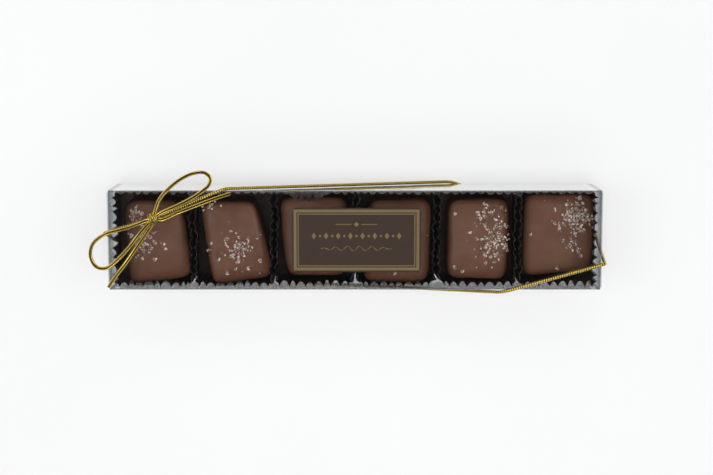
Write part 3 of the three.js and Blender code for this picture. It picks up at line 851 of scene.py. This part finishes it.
class PACK_OT_box(bpy.types.Operator):
    """Adds the clear folding box with its tuck-in ends"""

    bl_idname = "caramel_pack.box"
    bl_label = "Clear box"

    def execute(self, context):
        sizes = context.scene.pack_sizes
        film, fold = sizes.film / MM, sizes.fold / MM
        surfaces = [self.sleeve(film, fold), self.glued_seam(film)]
        for end in (-1, 1):
            surfaces.append(self.end_wall(end, film, fold, sizes.tongue / MM))
            for side in (-1, 1):
                surfaces.append(self.side_flap(end, side, film, fold, sizes.side_flap / MM))
        build("film_box", surfaces, finish("Clear film"), ["clear_box"], sharp=30)
        return {"FINISHED"}

    def sleeve(self, film, fold):
        """Base, long walls and lid in one.

        The section is a rectangle with rounded corners. The lid and the base bow inwards by a
        small sine of the place along the box, most at the middle of their width.
        """
        half_y, low, high = HALF_WIDTH - film / 2, BASE_Z + film / 2, LID_Z - film / 2
        centre, half_z = (low + high) / 2, (high - low) / 2
        corners = [(0, high), (half_y, high), (half_y, low), (-half_y, low), (-half_y, high), (0, high)]
        rounded = fold_path(corners, fold, 7)[1:-1]
        flat = even_steps(np.array(corners, float), 0.8)[:-1]
        away = np.linalg.norm(flat[:, None] - rounded[None], axis=2).min(axis=1)
        section = np.concatenate([rounded, flat[away > fold * 1.5]])
        section = section[np.argsort(np.arctan2(section[:, 1] - centre, section[:, 0]))]
        reach = HALF_LENGTH - SLEEVE_SHORT
        x = np.linspace(-reach, reach, 80)
        y, z = section[:, 0], section[:, 1]
        flat_top = np.clip((half_y - abs(y)) / half_y, 0, 1)
        bow = PANEL_BOW * np.sin(x / 19.0)[:, None] * np.sin(flat_top * math.pi)[None]
        middle = place_grid(x[:, None], y[None], z[None] - np.sign(z - centre)[None] * abs(bow))
        near_fold = np.hypot(half_y - abs(y), half_z - abs(z - centre))
        # Painted shade: a dark line along each fold and along the sleeve's cut ends.
        crease = np.clip(1.25 - near_fold / FOLD_SHADE_REACH, 0, 1)
        ends = np.clip(1 - (reach - abs(x)) / EDGE_SHADE_REACH, 0, 1)
        crease = np.maximum(crease[None], ends[:, None])
        haze = np.where((abs(z - centre) < half_z - fold) & (y < 0), FRONT_HAZE, 0.0)
        return thin_sheet(middle, film, wrapped=True, crease=crease, haze=haze, dull=0.8 * haze)

    def glued_seam(self, film):
        """Strip that is glued inside the back wall, along its foot."""
        z = np.linspace(BASE_Z + 1.6, BASE_Z + 9, 6)[:, None]
        x = np.linspace(-HALF_LENGTH + 2, HALF_LENGTH - 2, 40)[None]
        y = HALF_WIDTH - film * 1.5 - 0.03
        # Painted shade: a dark line along the strip's top edge.
        crease = np.where(z == z.max(), 0.6, 0.0)
        return thin_sheet(place_grid(x, y, z), film * 0.8, crease=crease, haze=0.0, dull=0.0)

    def end_wall(self, end, film, fold, tongue):
        """End wall hinged on the base.

        Its path runs up from the base's edge over a fold to the tongue, which lies under the lid
        and slopes down a little to its free edge, with rounded corners.
        """
        out, low = HALF_LENGTH - film / 2, BASE_Z + film / 2
        high = LID_Z - film * 1.5 - 0.25
        path = fold_path([
            (out - 0.6, low), (out, low + 0.1), (out, high), (out - tongue, high - 0.9),
        ], fold, 6)
        path = np.concatenate([path[:7], even_steps(path[6:8], 2.0)[1:-1], path[7:13],
                               even_steps(path[12:], 1.5)[1:]])
        reach_in = out - path[:, 0]
        on_tongue, corner = path[:, 1] > high - 1.2, 4
        half = HALF_WIDTH - 0.45 - np.where(on_tongue, 0.5, 0.0)
        near_edge = np.clip((reach_in - (tongue - corner)) / corner, 0, 1)
        half = half - corner * (1 - np.sqrt(1 - near_edge ** 2)) * on_tongue
        middle = place_grid(end * path[:, :1], half[:, None] * np.linspace(-1, 1, 24), path[:, 1:])
        from_fold = np.hypot(path[:, 0] - out, path[:, 1] - high)
        # Painted shade: a dark line along the fold under the lid.
        crease = np.clip(1.2 - from_fold / FOLD_SHADE_REACH, 0, 1)
        dull = np.where(reach_in < 1.5, 1.0, 0.0)[:, None]
        return thin_sheet(middle, film, crease=crease[:, None], haze=END_HAZE * dull, dull=dull)

    def side_flap(self, end, side, film, fold, reach):
        """Side flap folded in from a long wall, lower at its free edge."""
        out = HALF_LENGTH - film * 1.5 - 0.35
        wall = HALF_WIDTH - film / 2 - 0.02
        path = fold_path([(out - 0.5, wall), (out, wall), (out, wall - reach)], fold * 0.9, 6)
        path = np.concatenate([path[:7], even_steps(path[6:], 1.5)[1:]])
        gone = np.clip((wall - path[:, 1]) / reach, 0, 1)
        low = BASE_Z + film + 0.4 + 3 * gone
        high = LID_Z - 3 * film - 0.6 - 3 * gone
        up = np.linspace(0, 1, 10)
        middle = place_grid(
            end * path[:, :1], side * path[:, 1:], low[:, None] + (high - low)[:, None] * up)
        # Painted shade: a dark line along the flap's fold, half as dark.
        crease = np.clip(1 - gone * reach / 0.6, 0, 1) * 0.5
        return thin_sheet(middle, film, crease=crease[:, None], haze=FLAP_HAZE, dull=1.0)


# The cups

def rounded_outline(half_x, half_y, corner, share):
    """Rounded rectangle at shares 0 to 1 of its length, with its outward directions."""
    quarter = np.linspace(0, math.pi / 2, 24)
    arcs = []
    for k, (sx, sy) in enumerate(QUARTERS):
        turn = quarter + k * math.pi / 2
        centre = (sx * (half_x - corner), sy * (half_y - corner))
        arcs.append(centre + corner * np.stack([np.cos(turn), np.sin(turn)], -1))
    loop = np.concatenate([[(half_x, 0)], *arcs, [(half_x, 0)]])
    length = run_length(loop)
    at = share * length[-1]
    points = np.stack([np.interp(at, length, loop[:, 0]), np.interp(at, length, loop[:, 1])], -1)
    ahead = unit(slopes(points, 0, True))
    return points, np.stack([ahead[:, 1], -ahead[:, 0]], -1)


class PACK_OT_cups(bpy.types.Operator):
    """Adds the six fluted paper cups"""

    bl_idname = "caramel_pack.cups"
    bl_label = "Paper cups"

    def execute(self, context):
        sizes = context.scene.pack_sizes
        for cell in CELLS:
            build(f"paper_cup_{cell}", [self.cup(cell, sizes)], finish("Dark glassine"),
                  [f"cup_{cell}"], sharp=60)
        return {"FINISHED"}

    def cup(self, cell, sizes):
        """One pleated cup.

        Round the wall each flute is |sin|: sharp at its tip against the box and rounded inwards.
        Its depth grows from foot to rim by a power of the height, and each flute has its own depth
        and width from a seeded draw. The depth is less beside another cup and at the back.
        """
        draw = np.random.default_rng(40 + cell)
        left, right = CUP_EDGES_X[cell - 1], CUP_EDGES_X[cell]
        columns = sizes.flutes * FLUTE_COLUMNS
        phase = np.arange(columns) / FLUTE_COLUMNS
        share = phase / sizes.flutes
        flute = phase.astype(int)
        uneven = draw.uniform(-0.22, 0.22, sizes.flutes + 1)
        uneven[-1] = uneven[0]
        shift = np.interp(phase, np.arange(sizes.flutes + 1), uneven) / sizes.flutes
        low, high = node_box(f"cup_{cell}")
        half_x, half_y = (right - left) / 2, CUP_LIMIT_Y - 0.15
        foot, foot_out = rounded_outline(half_x, half_y - 1.1, 2.0, (share + shift) % 1)
        rim, rim_out = rounded_outline(half_x - 0.05, half_y, 1.6, (share + shift) % 1)
        depth_of = draw.uniform(0.65, 1.1, sizes.flutes)
        pleat = abs(np.sin(math.pi * phase)) ** 0.85
        rise = np.linspace(0, 1, WALL_ROWS)[:, None]
        depth = FOOT_FLUTE + (sizes.flute_depth / MM - FOOT_FLUTE) * rise ** 1.8
        beside = abs(rim_out[:, 0]) * np.where(rim_out[:, 0] < 0, cell > CELLS[0], cell < CELLS[-1])
        squeezed = 1 - 0.5 * np.clip(rim_out[:, 1], 0, 1) - 0.4 * beside
        inwards = (depth - FOOT_FLUTE * beside[None]) * (pleat * depth_of[flute] * squeezed)[None]
        clear = 0.12 * (1 - beside[None] * (1 - rise))
        outline = foot[None] + (rim - foot)[None] * rise[..., None]
        outward = unit(foot_out[None] * (1 - rise[..., None]) + rim_out[None] * rise[..., None])
        lean = 0.5 * np.sin(2 * math.pi * share * 3 + cell)[None] * rise ** 2
        plan = outline - outward * (inwards + clear * (1 + lean))[..., None]
        level = low[2] + 0.1 + (high[2] - low[2] - 0.3) * rise
        level = level + rise ** 3 * 0.35 * np.sin(2 * math.pi * share * 5 + 2 * cell)[None]
        wall = place_grid(plan[..., 0] + (left + right) / 2, plan[..., 1], level)
        wall = self.wander(wall, left, right)
        wall = self.give_way(cell, wall, left, right)
        wall = self.open_corners(wall, rise)
        wall = self.fold_over(cell, wall, outward, rise)
        inner = np.linspace(0, 0.97, FLOOR_ROWS)[:, None, None]
        centre = np.array([(left + right) / 2, 0, low[2] + 0.1])
        floor = centre + (wall[:1] - centre) * (1, 1, 0) * inner
        middle = np.concatenate([floor, wall])
        normal = grid_normals(middle, True)
        normal[0] = (0, 0, -1)
        under = normal[:FLOOR_ROWS]
        normal[:FLOOR_ROWS] = np.where(under[..., 2:] > 0, -under, under)
        both = np.concatenate([middle + normal * PAPER / 2, (middle - normal * PAPER / 2)[::-1]])
        rise = np.concatenate([np.zeros((FLOOR_ROWS, 1)), rise])
        # Rim value: the paler cut rim, and painted highlight on the rim and on the outer pleat ridges,
        # more towards the top
        mask = np.maximum(np.clip((rise - 0.955) / 0.03, 0, 1), 0.22 * (1 - pleat)[None] * rise)
        # Painted light: paler paper towards the box's ends, where light comes in through the end walls.
        lit = np.clip((abs(both[..., 0]) - 83) / 9, 0, 1)
        return grid(both, wrap_cols=True, rim=np.concatenate([mask, mask[::-1]]), lit=lit)

    def give_way(self, cell, wall, left, right):
        """Wall pushed out where it would run through its caramel.

        A point's reach is its place in the caramel's plan superellipse, 1 on the outline. A point
        with less than the least reach at its height is moved out from the plan's middle.
        """
        corners = CARAMELS[cell - 1]["corners"]
        place = plan_share(corners, wall[..., :2])
        reach = (abs(place) ** CARAMEL_SQUARENESS).sum(-1) ** (1 / CARAMEL_SQUARENESS)
        least = np.interp(wall[..., 2], (18, 22, 24), (1.05, 1.0, 0.9))
        centre = np.mean(corners, 0)
        moved = centre + (wall[..., :2] - centre) * np.maximum(least / reach, 1)[..., None]
        return place_grid(
            np.clip(moved[..., 0], left, right), np.clip(moved[..., 1], -CUP_LIMIT_Y, CUP_LIMIT_Y),
            wall[..., 2])

    def wander(self, wall, left, right):
        """Sides between two cups: a slow wave that both share, and a quick one of each one's own."""
        wall = wall.copy()
        for edge, inwards in ((left, 1), (right, -1)):
            if abs(edge) < CUP_EDGES_X[-1]:
                near = np.clip(1 - abs(wall[..., 0] - edge) / 4, 0, 1)
                high = np.clip(wall[..., 2] / 25, 0, 1) ** 2
                y = wall[..., 1]
                shared = 0.6 * np.sin(y / 3.3 + edge) * np.cos(y / 7.9 + 2 * edge)
                own = 0.28 * inwards * (1 + np.sin(y / 1.4 + edge + 2 * inwards))
                wall[..., 0] += near * high * (shared + own)
        return wall

    def open_corners(self, wall, rise):
        """Crushed front corners: points near each are moved away from it, more towards the rim."""
        wall = wall.copy()
        for x, y, depth in CRUSHED_CORNERS:
            away = wall[..., :2] - (x, y)
            near = np.exp(-(np.linalg.norm(away, axis=-1) / 2.6) ** 2)
            wall[..., :2] += unit(away) * (near * depth * rise)[..., None]
        wall[..., 1] = np.clip(wall[..., 1], -CUP_LIMIT_Y, CUP_LIMIT_Y)
        return wall

    def fold_over(self, cell, wall, outward, rise):
        """Bends one cup's back rim in over its caramel: above the fold the wall turns inwards."""
        if cell != FOLDED_CUP:
            return wall
        wall = wall.copy()
        x, y = wall[..., 0] - FOLD_X, wall[..., 1]
        near = np.exp(-(x / 6.5) ** 4) * (y > 8)
        above = np.clip((rise - 0.8) / 0.2, 0, 1)
        turn = near * above * math.radians(80)
        hinge = int(0.8 * (WALL_ROWS - 1))
        arm = (wall[..., 2] - wall[hinge, :, 2]) * (above > 0)
        ragged = 0.8 + 0.2 * np.sin(2.3 * (x - 3.0))
        wall[..., :2] -= outward * (0.7 * arm * np.sin(turn) * ragged)[..., None]
        wall[..., 2] -= arm * (1 - np.cos(turn))
        return wall


# The caramels

def squareness(angle, power):
    """Distance from the middle to the edge of a rounded square of half size 1."""
    return (abs(np.cos(angle)) ** power + abs(np.sin(angle)) ** power) ** (-1 / power)


def caramel_points(index):
    """Grid of points over one caramel, from its foot's middle up to its top's middle.

    Plan and side profile are superellipses, and the plan is blended between the four corners. The
    sides draw in towards the top and swell at the foot, where the coating has run down, the top
    is slightly crowned, and slow waves of a few seeded sines run over both. A side that would
    reach the box's long wall is pressed flat a little before it.
    """
    corners = CARAMELS[index]["corners"]
    draw = np.random.default_rng(7 + index)
    low, _ = node_box(f"caramel_{index + 1}")
    around = full_turn(CARAMEL_COLUMNS)[None]
    rise = np.linspace(-1, 1, CARAMEL_ROWS)
    rise = (math.pi / 2 * (rise + 0.12 * np.sin(math.pi * rise)))[:, None]
    up = np.sin(rise) * squareness(rise, CARAMEL_SHOULDER)
    out = np.clip(np.cos(rise), 0, None) * squareness(rise, CARAMEL_SHOULDER)
    out = out * (1.01 - 0.03 * (up + 1) / 2) * (1 + 0.015 * np.exp(-((up + 0.9) / 0.25) ** 2))
    waves = np.zeros_like(out + around)
    for turns, size in ((2, 0.008), (3, 0.008), (5, 0.006), (7, 0.004), (11, 0.0022)):
        a, b = draw.uniform(0, 2 * math.pi, 2)
        waves += size * np.sin(turns * around + a) * (0.6 + 0.4 * np.sin(2.2 * up * turns ** 0.5 + b))
    plan = out * (1 + waves) * squareness(around, CARAMEL_SQUARENESS)
    share = np.stack([np.cos(around) * plan, np.sin(around) * plan], -1)
    place = plan_place(corners, share)
    past = np.clip(abs(place[..., 1]) - PRESSED_Y, 0, None)
    place[..., 1] -= np.sign(place[..., 1]) * (past - np.tanh(past))
    x, y = np.moveaxis(place - np.mean(corners, 0), -1, 0)
    z = low[2] + CARAMEL_HEIGHT / 2 * (1 + up)
    on_top = np.clip(up, 0, 1) ** 4
    a, b, c = draw.uniform(0, 2 * math.pi, 3)
    dents = 0.30 * np.cos(x / 9 + a) * np.cos(y / 10 + b) + 0.12 * np.sin(x / 3.1 + y / 4.3 + c)
    z = z + on_top * dents
    z = z - on_top * (0.3 * (share ** 2).sum(-1) + 0.6 * (share ** 4).sum(-1) - 0.3)
    return np.concatenate([place, z[..., None]], -1)


class PACK_OT_caramels(bpy.types.Operator):
    """Adds the six chocolate-dipped caramels"""

    bl_idname = "caramel_pack.caramels"
    bl_label = "Caramels"

    def execute(self, context):
        for index in range(len(CARAMELS)):
            surface = grid(caramel_points(index), wrap_cols=True)
            build(f"dipped_caramel_{index + 1}", [surface], finish("Milk chocolate"),
                  [f"caramel_{index + 1}"], sharp=180)
        return {"FINISHED"}


def crystals(places, sizes, normals, draw):
    """Many small crystals as one surface each, in arrays.

    Each is three rings of five points between two poles, stretched by its own three sizes, with
    every point moved a little and the whole turned at random.
    """
    count = len(places)
    turn = full_turn(5) + 0.3
    levels = ((-0.8, 0.0), (-0.62, 0.72), (0.1, 1.0), (0.66, 0.7), (0.8, 0.0))
    shape = np.array([[(r * math.cos(t), r * math.sin(t), h) for t in turn] for h, r in levels])
    stretch = draw.uniform((0.75, 0.55, 0.4), (1.0, 0.9, 0.75), (count, 3))
    points = shape[None] * stretch[:, None, None]
    jitter = draw.uniform(-0.16, 0.16, points.shape)
    jitter[:, 0] = jitter[:, 0, :1]
    jitter[:, -1] = jitter[:, -1, :1]
    points = (points + jitter) * (sizes / 2)[:, None, None, None]
    angle = draw.uniform(0, 2 * math.pi, count)
    tilt = draw.uniform(-0.7, 0.7, (count, 2))
    for axis, other, by in ((0, 1, angle), (0, 2, tilt[:, 0]), (1, 2, tilt[:, 1])):
        c, s = np.cos(by)[:, None, None], np.sin(by)[:, None, None]
        a, b = points[..., axis].copy(), points[..., other].copy()
        points[..., axis], points[..., other] = a * c - b * s, a * s + b * c
    points += (places + normals * sizes[:, None] * 0.18)[:, None, None]
    return [grid(one, wrap_cols=True) for one in points]


class PACK_OT_salt(bpy.types.Operator):
    """Sprinkles coarse salt on the caramels"""

    bl_idname = "caramel_pack.salt"
    bl_label = "Salt"

    def execute(self, context):
        large = context.scene.pack_sizes.crystal / MM
        surfaces = []
        for index, caramel in enumerate(CARAMELS):
            draw = np.random.default_rng(300 + index)
            plan, size = [], []
            for x, y, spread_x, spread_y, count in caramel["clusters"]:
                plan.append(draw.normal((x, y), (spread_x * 0.75, spread_y * 0.75), (count, 2)))
                size.append(large * (0.5 + 0.62 * draw.random(count) ** 1.2))
            if caramel["single"]:
                plan.append(np.array(caramel["single"], float))
                size.append(large * draw.uniform(1.0, 1.35, len(caramel["single"])))
            grains = 36
            plan.append(draw.normal(caramel["clusters"][0][:2], 5.5, (grains, 2)))
            size.append(large * draw.uniform(0.2, 0.36, grains))
            plan, size = np.concatenate(plan), np.concatenate(size)
            skin = caramel_points(index)[FIRST_SALTED_ROW:]
            out = grid_normals(skin, True)
            out = np.where(out[..., 2:] < 0, -out, out).reshape(-1, 3)
            skin = skin.reshape(-1, 3)
            gap = np.linalg.norm(skin[None, :, :2] - plan[:, None], axis=2)
            nearest = np.argmin(gap, axis=1)
            held = gap[np.arange(len(plan)), nearest] < SALT_HOLD
            surfaces += crystals(skin[nearest][held], size[held], out[nearest][held], draw)
        build("salt_crystals", surfaces, finish("Coarse salt"), sharp=25)
        return {"FINISHED"}


# The label

def ring_rows(rings):
    """Rows of points from rings in plan, each with its height."""
    return np.stack([place_grid(ring[:, 0], ring[:, 1], z) for ring, z in rings])


def flat_patch(outline, low, high):
    """Closed plate over an outline round its middle: its sides and a fan on both faces."""
    outline = np.array(outline, float)
    centre = np.broadcast_to(outline.mean(0), outline.shape)
    return grid(ring_rows(((centre, low), (outline, low), (outline, high), (centre, high))),
                wrap_cols=True)


def frame_strip(half_x, half_y, width, low, high, middle):
    """Closed rectangular frame: four mitred bars of one width round a middle."""
    ring = np.array(QUARTERS, float)
    outer = ring * (half_x, half_y) + middle
    inner = ring * (half_x - width, half_y - width) + middle
    return grid(ring_rows(((outer, low), (outer, high), (inner, high), (inner, low))),
                wrap_rows=True, wrap_cols=True)


class PACK_OT_label(bpy.types.Operator):
    """Adds the label on the lid with its gold frame and plain ornament"""

    bl_idname = "caramel_pack.label"
    bl_label = "Label"

    def execute(self, context):
        low, high = node_box("label")
        middle = (low[:2] + high[:2]) / 2
        half = (high[:2] - low[:2]) / 2
        bottom, top = LID_Z + 0.02, LID_Z + 0.16
        share = np.linspace(0, 1, 80, endpoint=False)
        outline, _ = rounded_outline(*half, 0.5, share)
        build("label_card", [flat_patch(outline + middle, bottom, top)], finish("Label print"),
              ["label"], sharp=30)
        raised = top + 0.02
        surfaces = [
            frame_strip(half[0] - 0.65, half[1] - 0.65, 1.1, top, raised, middle),
            frame_strip(half[0] - 2.2, half[1] - 2.2, 0.4, top, raised, middle),
        ]
        surfaces += self.ornament(middle, top, raised)
        build("label_gold", surfaces, finish("Label gold"), sharp=30)
        return {"FINISHED"}

    def ornament(self, middle, low, high):
        """Three plain rows: a lozenge between two rules, a row of lozenges, and a wavy line."""
        def lozenge(x, y, half_x, half_y):
            corners = np.array([(half_x, 0), (0, half_y), (-half_x, 0), (0, -half_y)])
            return flat_patch(corners + middle + (x, y), low, high)

        def rule(x0, x1, y, width):
            up, down = y + width / 2, y - width / 2
            return flat_patch(np.array([(x1, up), (x0, up), (x0, down), (x1, down)]) + middle, low, high)

        parts = [lozenge(0, 6.2, 1.0, 1.0), rule(-8.2, -2.0, 6.2, 0.3), rule(2.0, 8.2, 6.2, 0.3)]
        for k in range(-7, 8):
            parts.append(lozenge(k * 2.4, 1.6, 0.9 if k % 2 else 0.6, 1.35 if k % 2 else 0.6))
        x = np.linspace(-WAVE_REACH, WAVE_REACH, 160)
        wave = -3.4 + 0.95 * np.sin(x * 1.32) * np.cos(x / WAVE_REACH * math.pi / 2) ** 0.7
        width = 0.13 + 0.07 * np.sin(x * 2.64 + 0.7)
        sides = np.stack([wave - width, wave - width, wave + width, wave + width], 1)
        rows = place_grid(x[:, None], sides, (low, high, high, low)) + (*middle, 0)
        ends = np.repeat(rows.mean(1, keepdims=True), 4, 1)
        parts.append(grid(np.concatenate([ends[:1], rows, ends[-1:]]), wrap_cols=True))
        return parts


# The stage

class PACK_OT_stage(bpy.types.Operator):
    """Adds the pale floor, the soft lights and the camera over the lid"""

    bl_idname = "caramel_pack.stage"
    bl_label = "Stage"

    def execute(self, context):
        self.camera(context)
        self.floor(context)
        self.lights(context)
        return {"FINISHED"}

    def camera(self, context):
        """Camera over the lid, tilted a little past straight down, with the back edge up."""
        data = bpy.data.cameras.new("Camera")
        data.sensor_width = SENSOR_MM
        data.lens = PHOTO_FOCAL_PX * SENSOR_MM / PHOTO_WIDTH_PX
        data.clip_start = 0.01
        camera = bpy.data.objects.new("Camera", data)
        camera.location = [v * MM for v in CAMERA_PLACE]
        camera.rotation_euler = (-CAMERA_TILT, 0, 0)
        context.scene.collection.objects.link(camera)
        context.scene.camera = camera

    def floor(self, context):
        """Plain pale light table, faintly uneven in tone, that glows enough to soften shadows."""
        mesh = bpy.data.meshes.new("floor")
        corners = [(x * FLOOR_REACH, y * FLOOR_REACH, 0) for x, y in QUARTERS]
        mesh.from_pydata(corners, [], [(0, 1, 2, 3)])
        material, tree, shader = new_material("Pale floor")
        tone = map_range(tree, noise_node(tree, place_output(tree), 6.0), 0.3, 0.7)
        put(shader, Base_Color=mix_colour(tree, tone, (0.42, 0.42, 0.42), (0.44, 0.44, 0.44)),
            Roughness=0.75, Emission_Color=(1, 1, 1), Emission_Strength=0.475)
        mesh.materials.append(material)
        floor = bpy.data.objects.new("floor", mesh)
        context.scene.collection.objects.link(floor)

    def lights(self, context):
        """Soft lights at all four sides and overhead, and a pale surround.

        The overhead one is left out of reflections, so that it leaves no square on the lid.
        """
        for name, place, turn, size, power in LIGHTS:
            data = bpy.data.lights.new(name, "AREA")
            data.shape = "SQUARE"
            data.size = size
            data.energy = power
            light = bpy.data.objects.new(name, data)
            light.location = place
            light.rotation_euler = (math.radians(turn[0]), math.radians(turn[1]), 0)
            light.visible_glossy = name != "top_light"
            context.scene.collection.objects.link(light)
        self.tent(context)

    def tent(self, context):
        """Pale surround, brightest half way up, with a dark opening where a camera looks in."""
        world = bpy.data.worlds.new("Light tent")
        world.use_nodes = True
        tree = world.node_tree
        height = new_node(tree, "SeparateXYZ", Vector=place_output(tree, "Generated")).outputs["Z"]
        band = map_range(tree, height, 0.45, 0.6, 0.2, 1.15)
        opening = map_range(tree, height, 0.69, 0.82, 1, 0.03)
        put(tree.nodes["Background"], Color=(0.95, 0.97, 1.0),
            Strength=math_node(tree, "MULTIPLY", band, opening))
        context.scene.world = world
        context.scene.view_settings.view_transform = "Standard"


COLOURED = {
    "Milk chocolate": chocolate_finish, "Dark glassine": paper_finish, "Gold cord": gold_finish,
    "Label print": label_finish, "Label gold": foil_finish,
}
PLAIN = {"Clear film": film_finish, "Coarse salt": salt_finish}


def finish(name):
    """The named material, made on first use, from the scene's colours where it takes them."""
    if name in bpy.data.materials:
        return bpy.data.materials[name]
    return PLAIN[name]() if name in PLAIN else COLOURED[name](bpy.context.scene.pack_colours)


class PACK_PT_panel(bpy.types.Panel):
    """Lists the pack's pieces, sizes and colours."""

    bl_idname = "PACK_PT_panel"
    bl_label = "Salted caramels"
    bl_space_type = "VIEW_3D"
    bl_region_type = "UI"
    bl_category = "Caramels"

    def draw(self, context):
        for operator in OPERATORS:
            self.layout.operator(operator.bl_idname)
        for group in (context.scene.pack_sizes, context.scene.pack_colours):
            box = self.layout.box()
            for key in group.bl_rna.properties.keys():
                if key not in ("rna_type", "name"):
                    box.prop(group, key)


OPERATORS = (
    PACK_OT_stage, PACK_OT_cord, PACK_OT_bow, PACK_OT_box, PACK_OT_cups, PACK_OT_caramels,
    PACK_OT_salt, PACK_OT_label,
)
CLASSES = (PackSizes, PackColours, *OPERATORS, PACK_PT_panel)


def register():
    for item in CLASSES:
        bpy.utils.register_class(item)
    bpy.types.Scene.pack_sizes = PointerProperty(type=PackSizes)
    bpy.types.Scene.pack_colours = PointerProperty(type=PackColours)


def unregister():
    del bpy.types.Scene.pack_sizes
    del bpy.types.Scene.pack_colours
    for item in reversed(CLASSES):
        bpy.utils.unregister_class(item)


def main():
    register()
    bpy.ops.caramel_pack.stage()
    bpy.ops.caramel_pack.cord()
    bpy.ops.caramel_pack.bow()
    bpy.ops.caramel_pack.box()
    bpy.ops.caramel_pack.cups()
    bpy.ops.caramel_pack.caramels()
    bpy.ops.caramel_pack.salt()
    bpy.ops.caramel_pack.label()


if __name__ == "__main__":
    main()
